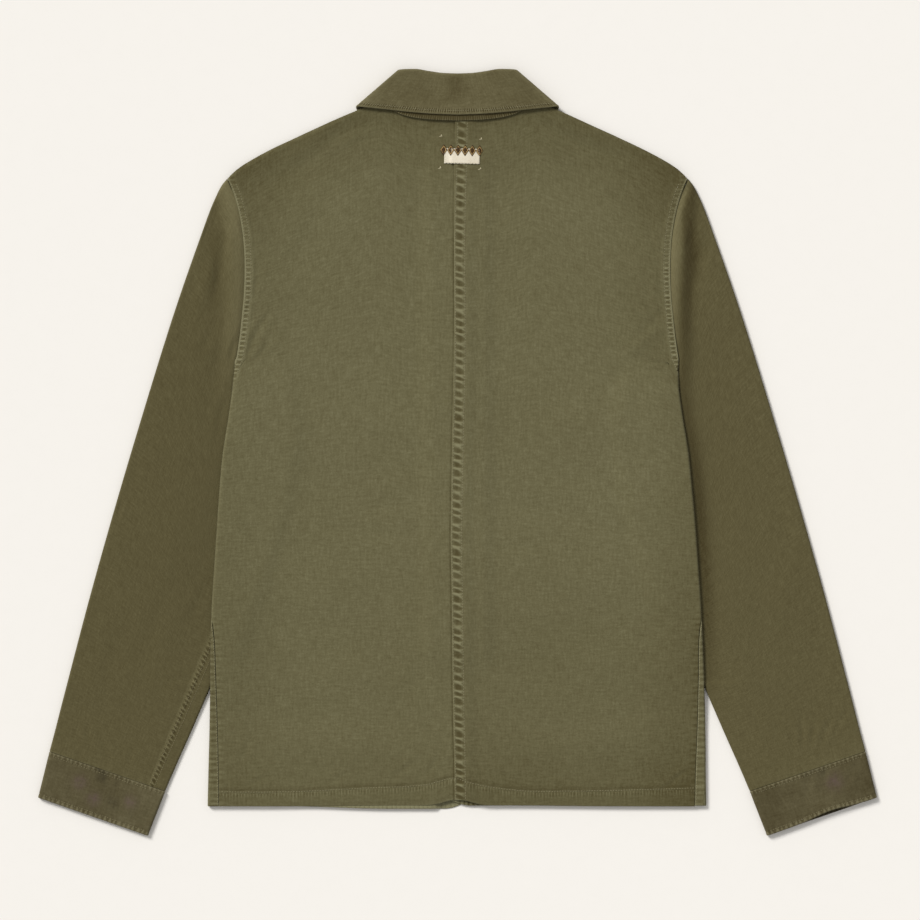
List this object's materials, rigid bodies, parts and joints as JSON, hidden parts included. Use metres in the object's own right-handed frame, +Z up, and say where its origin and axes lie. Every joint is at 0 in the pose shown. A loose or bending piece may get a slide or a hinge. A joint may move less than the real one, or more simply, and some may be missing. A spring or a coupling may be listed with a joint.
{
  "type": "field jacket laid flat",
  "caption": "Cotton twill jacket laid flat with its back up: turned-down collar, felled centre seam, long sleeves in buttonless cuffs, buttoned fronts underneath.",
  "frame": {"origin": "on the surface that the jacket lies on, under the middle of its bounding box", "axes": "+Z up from the surface, +Y towards the collar, -X the wearer's left"},
  "size_m": [0.856, 0.7826, 0.0105],
  "materials": {
    "body_twill": "matt cotton twill",
    "sleeve_twill": "matt cotton twill",
    "collar_twill": "matt cotton twill",
    "label_tape": "matt woven tape",
    "button_horn": "satin"
  },
  "bodies": {
    "root": {"back_left": "body_twill", "back_right": "body_twill", "front_left": "body_twill", "front_right": "body_twill", "sleeve_left": "sleeve_twill", "sleeve_right": "sleeve_twill", "cuff_left": "sleeve_twill", "cuff_right": "sleeve_twill", "collar_leaf": "collar_twill", "collar_stand": "collar_twill", "label": "label_tape", "button_1": "button_horn", "button_2": "button_horn", "button_3": "button_horn", "button_4": "button_horn", "button_5": "button_horn"}
  },
  "joints": []
}
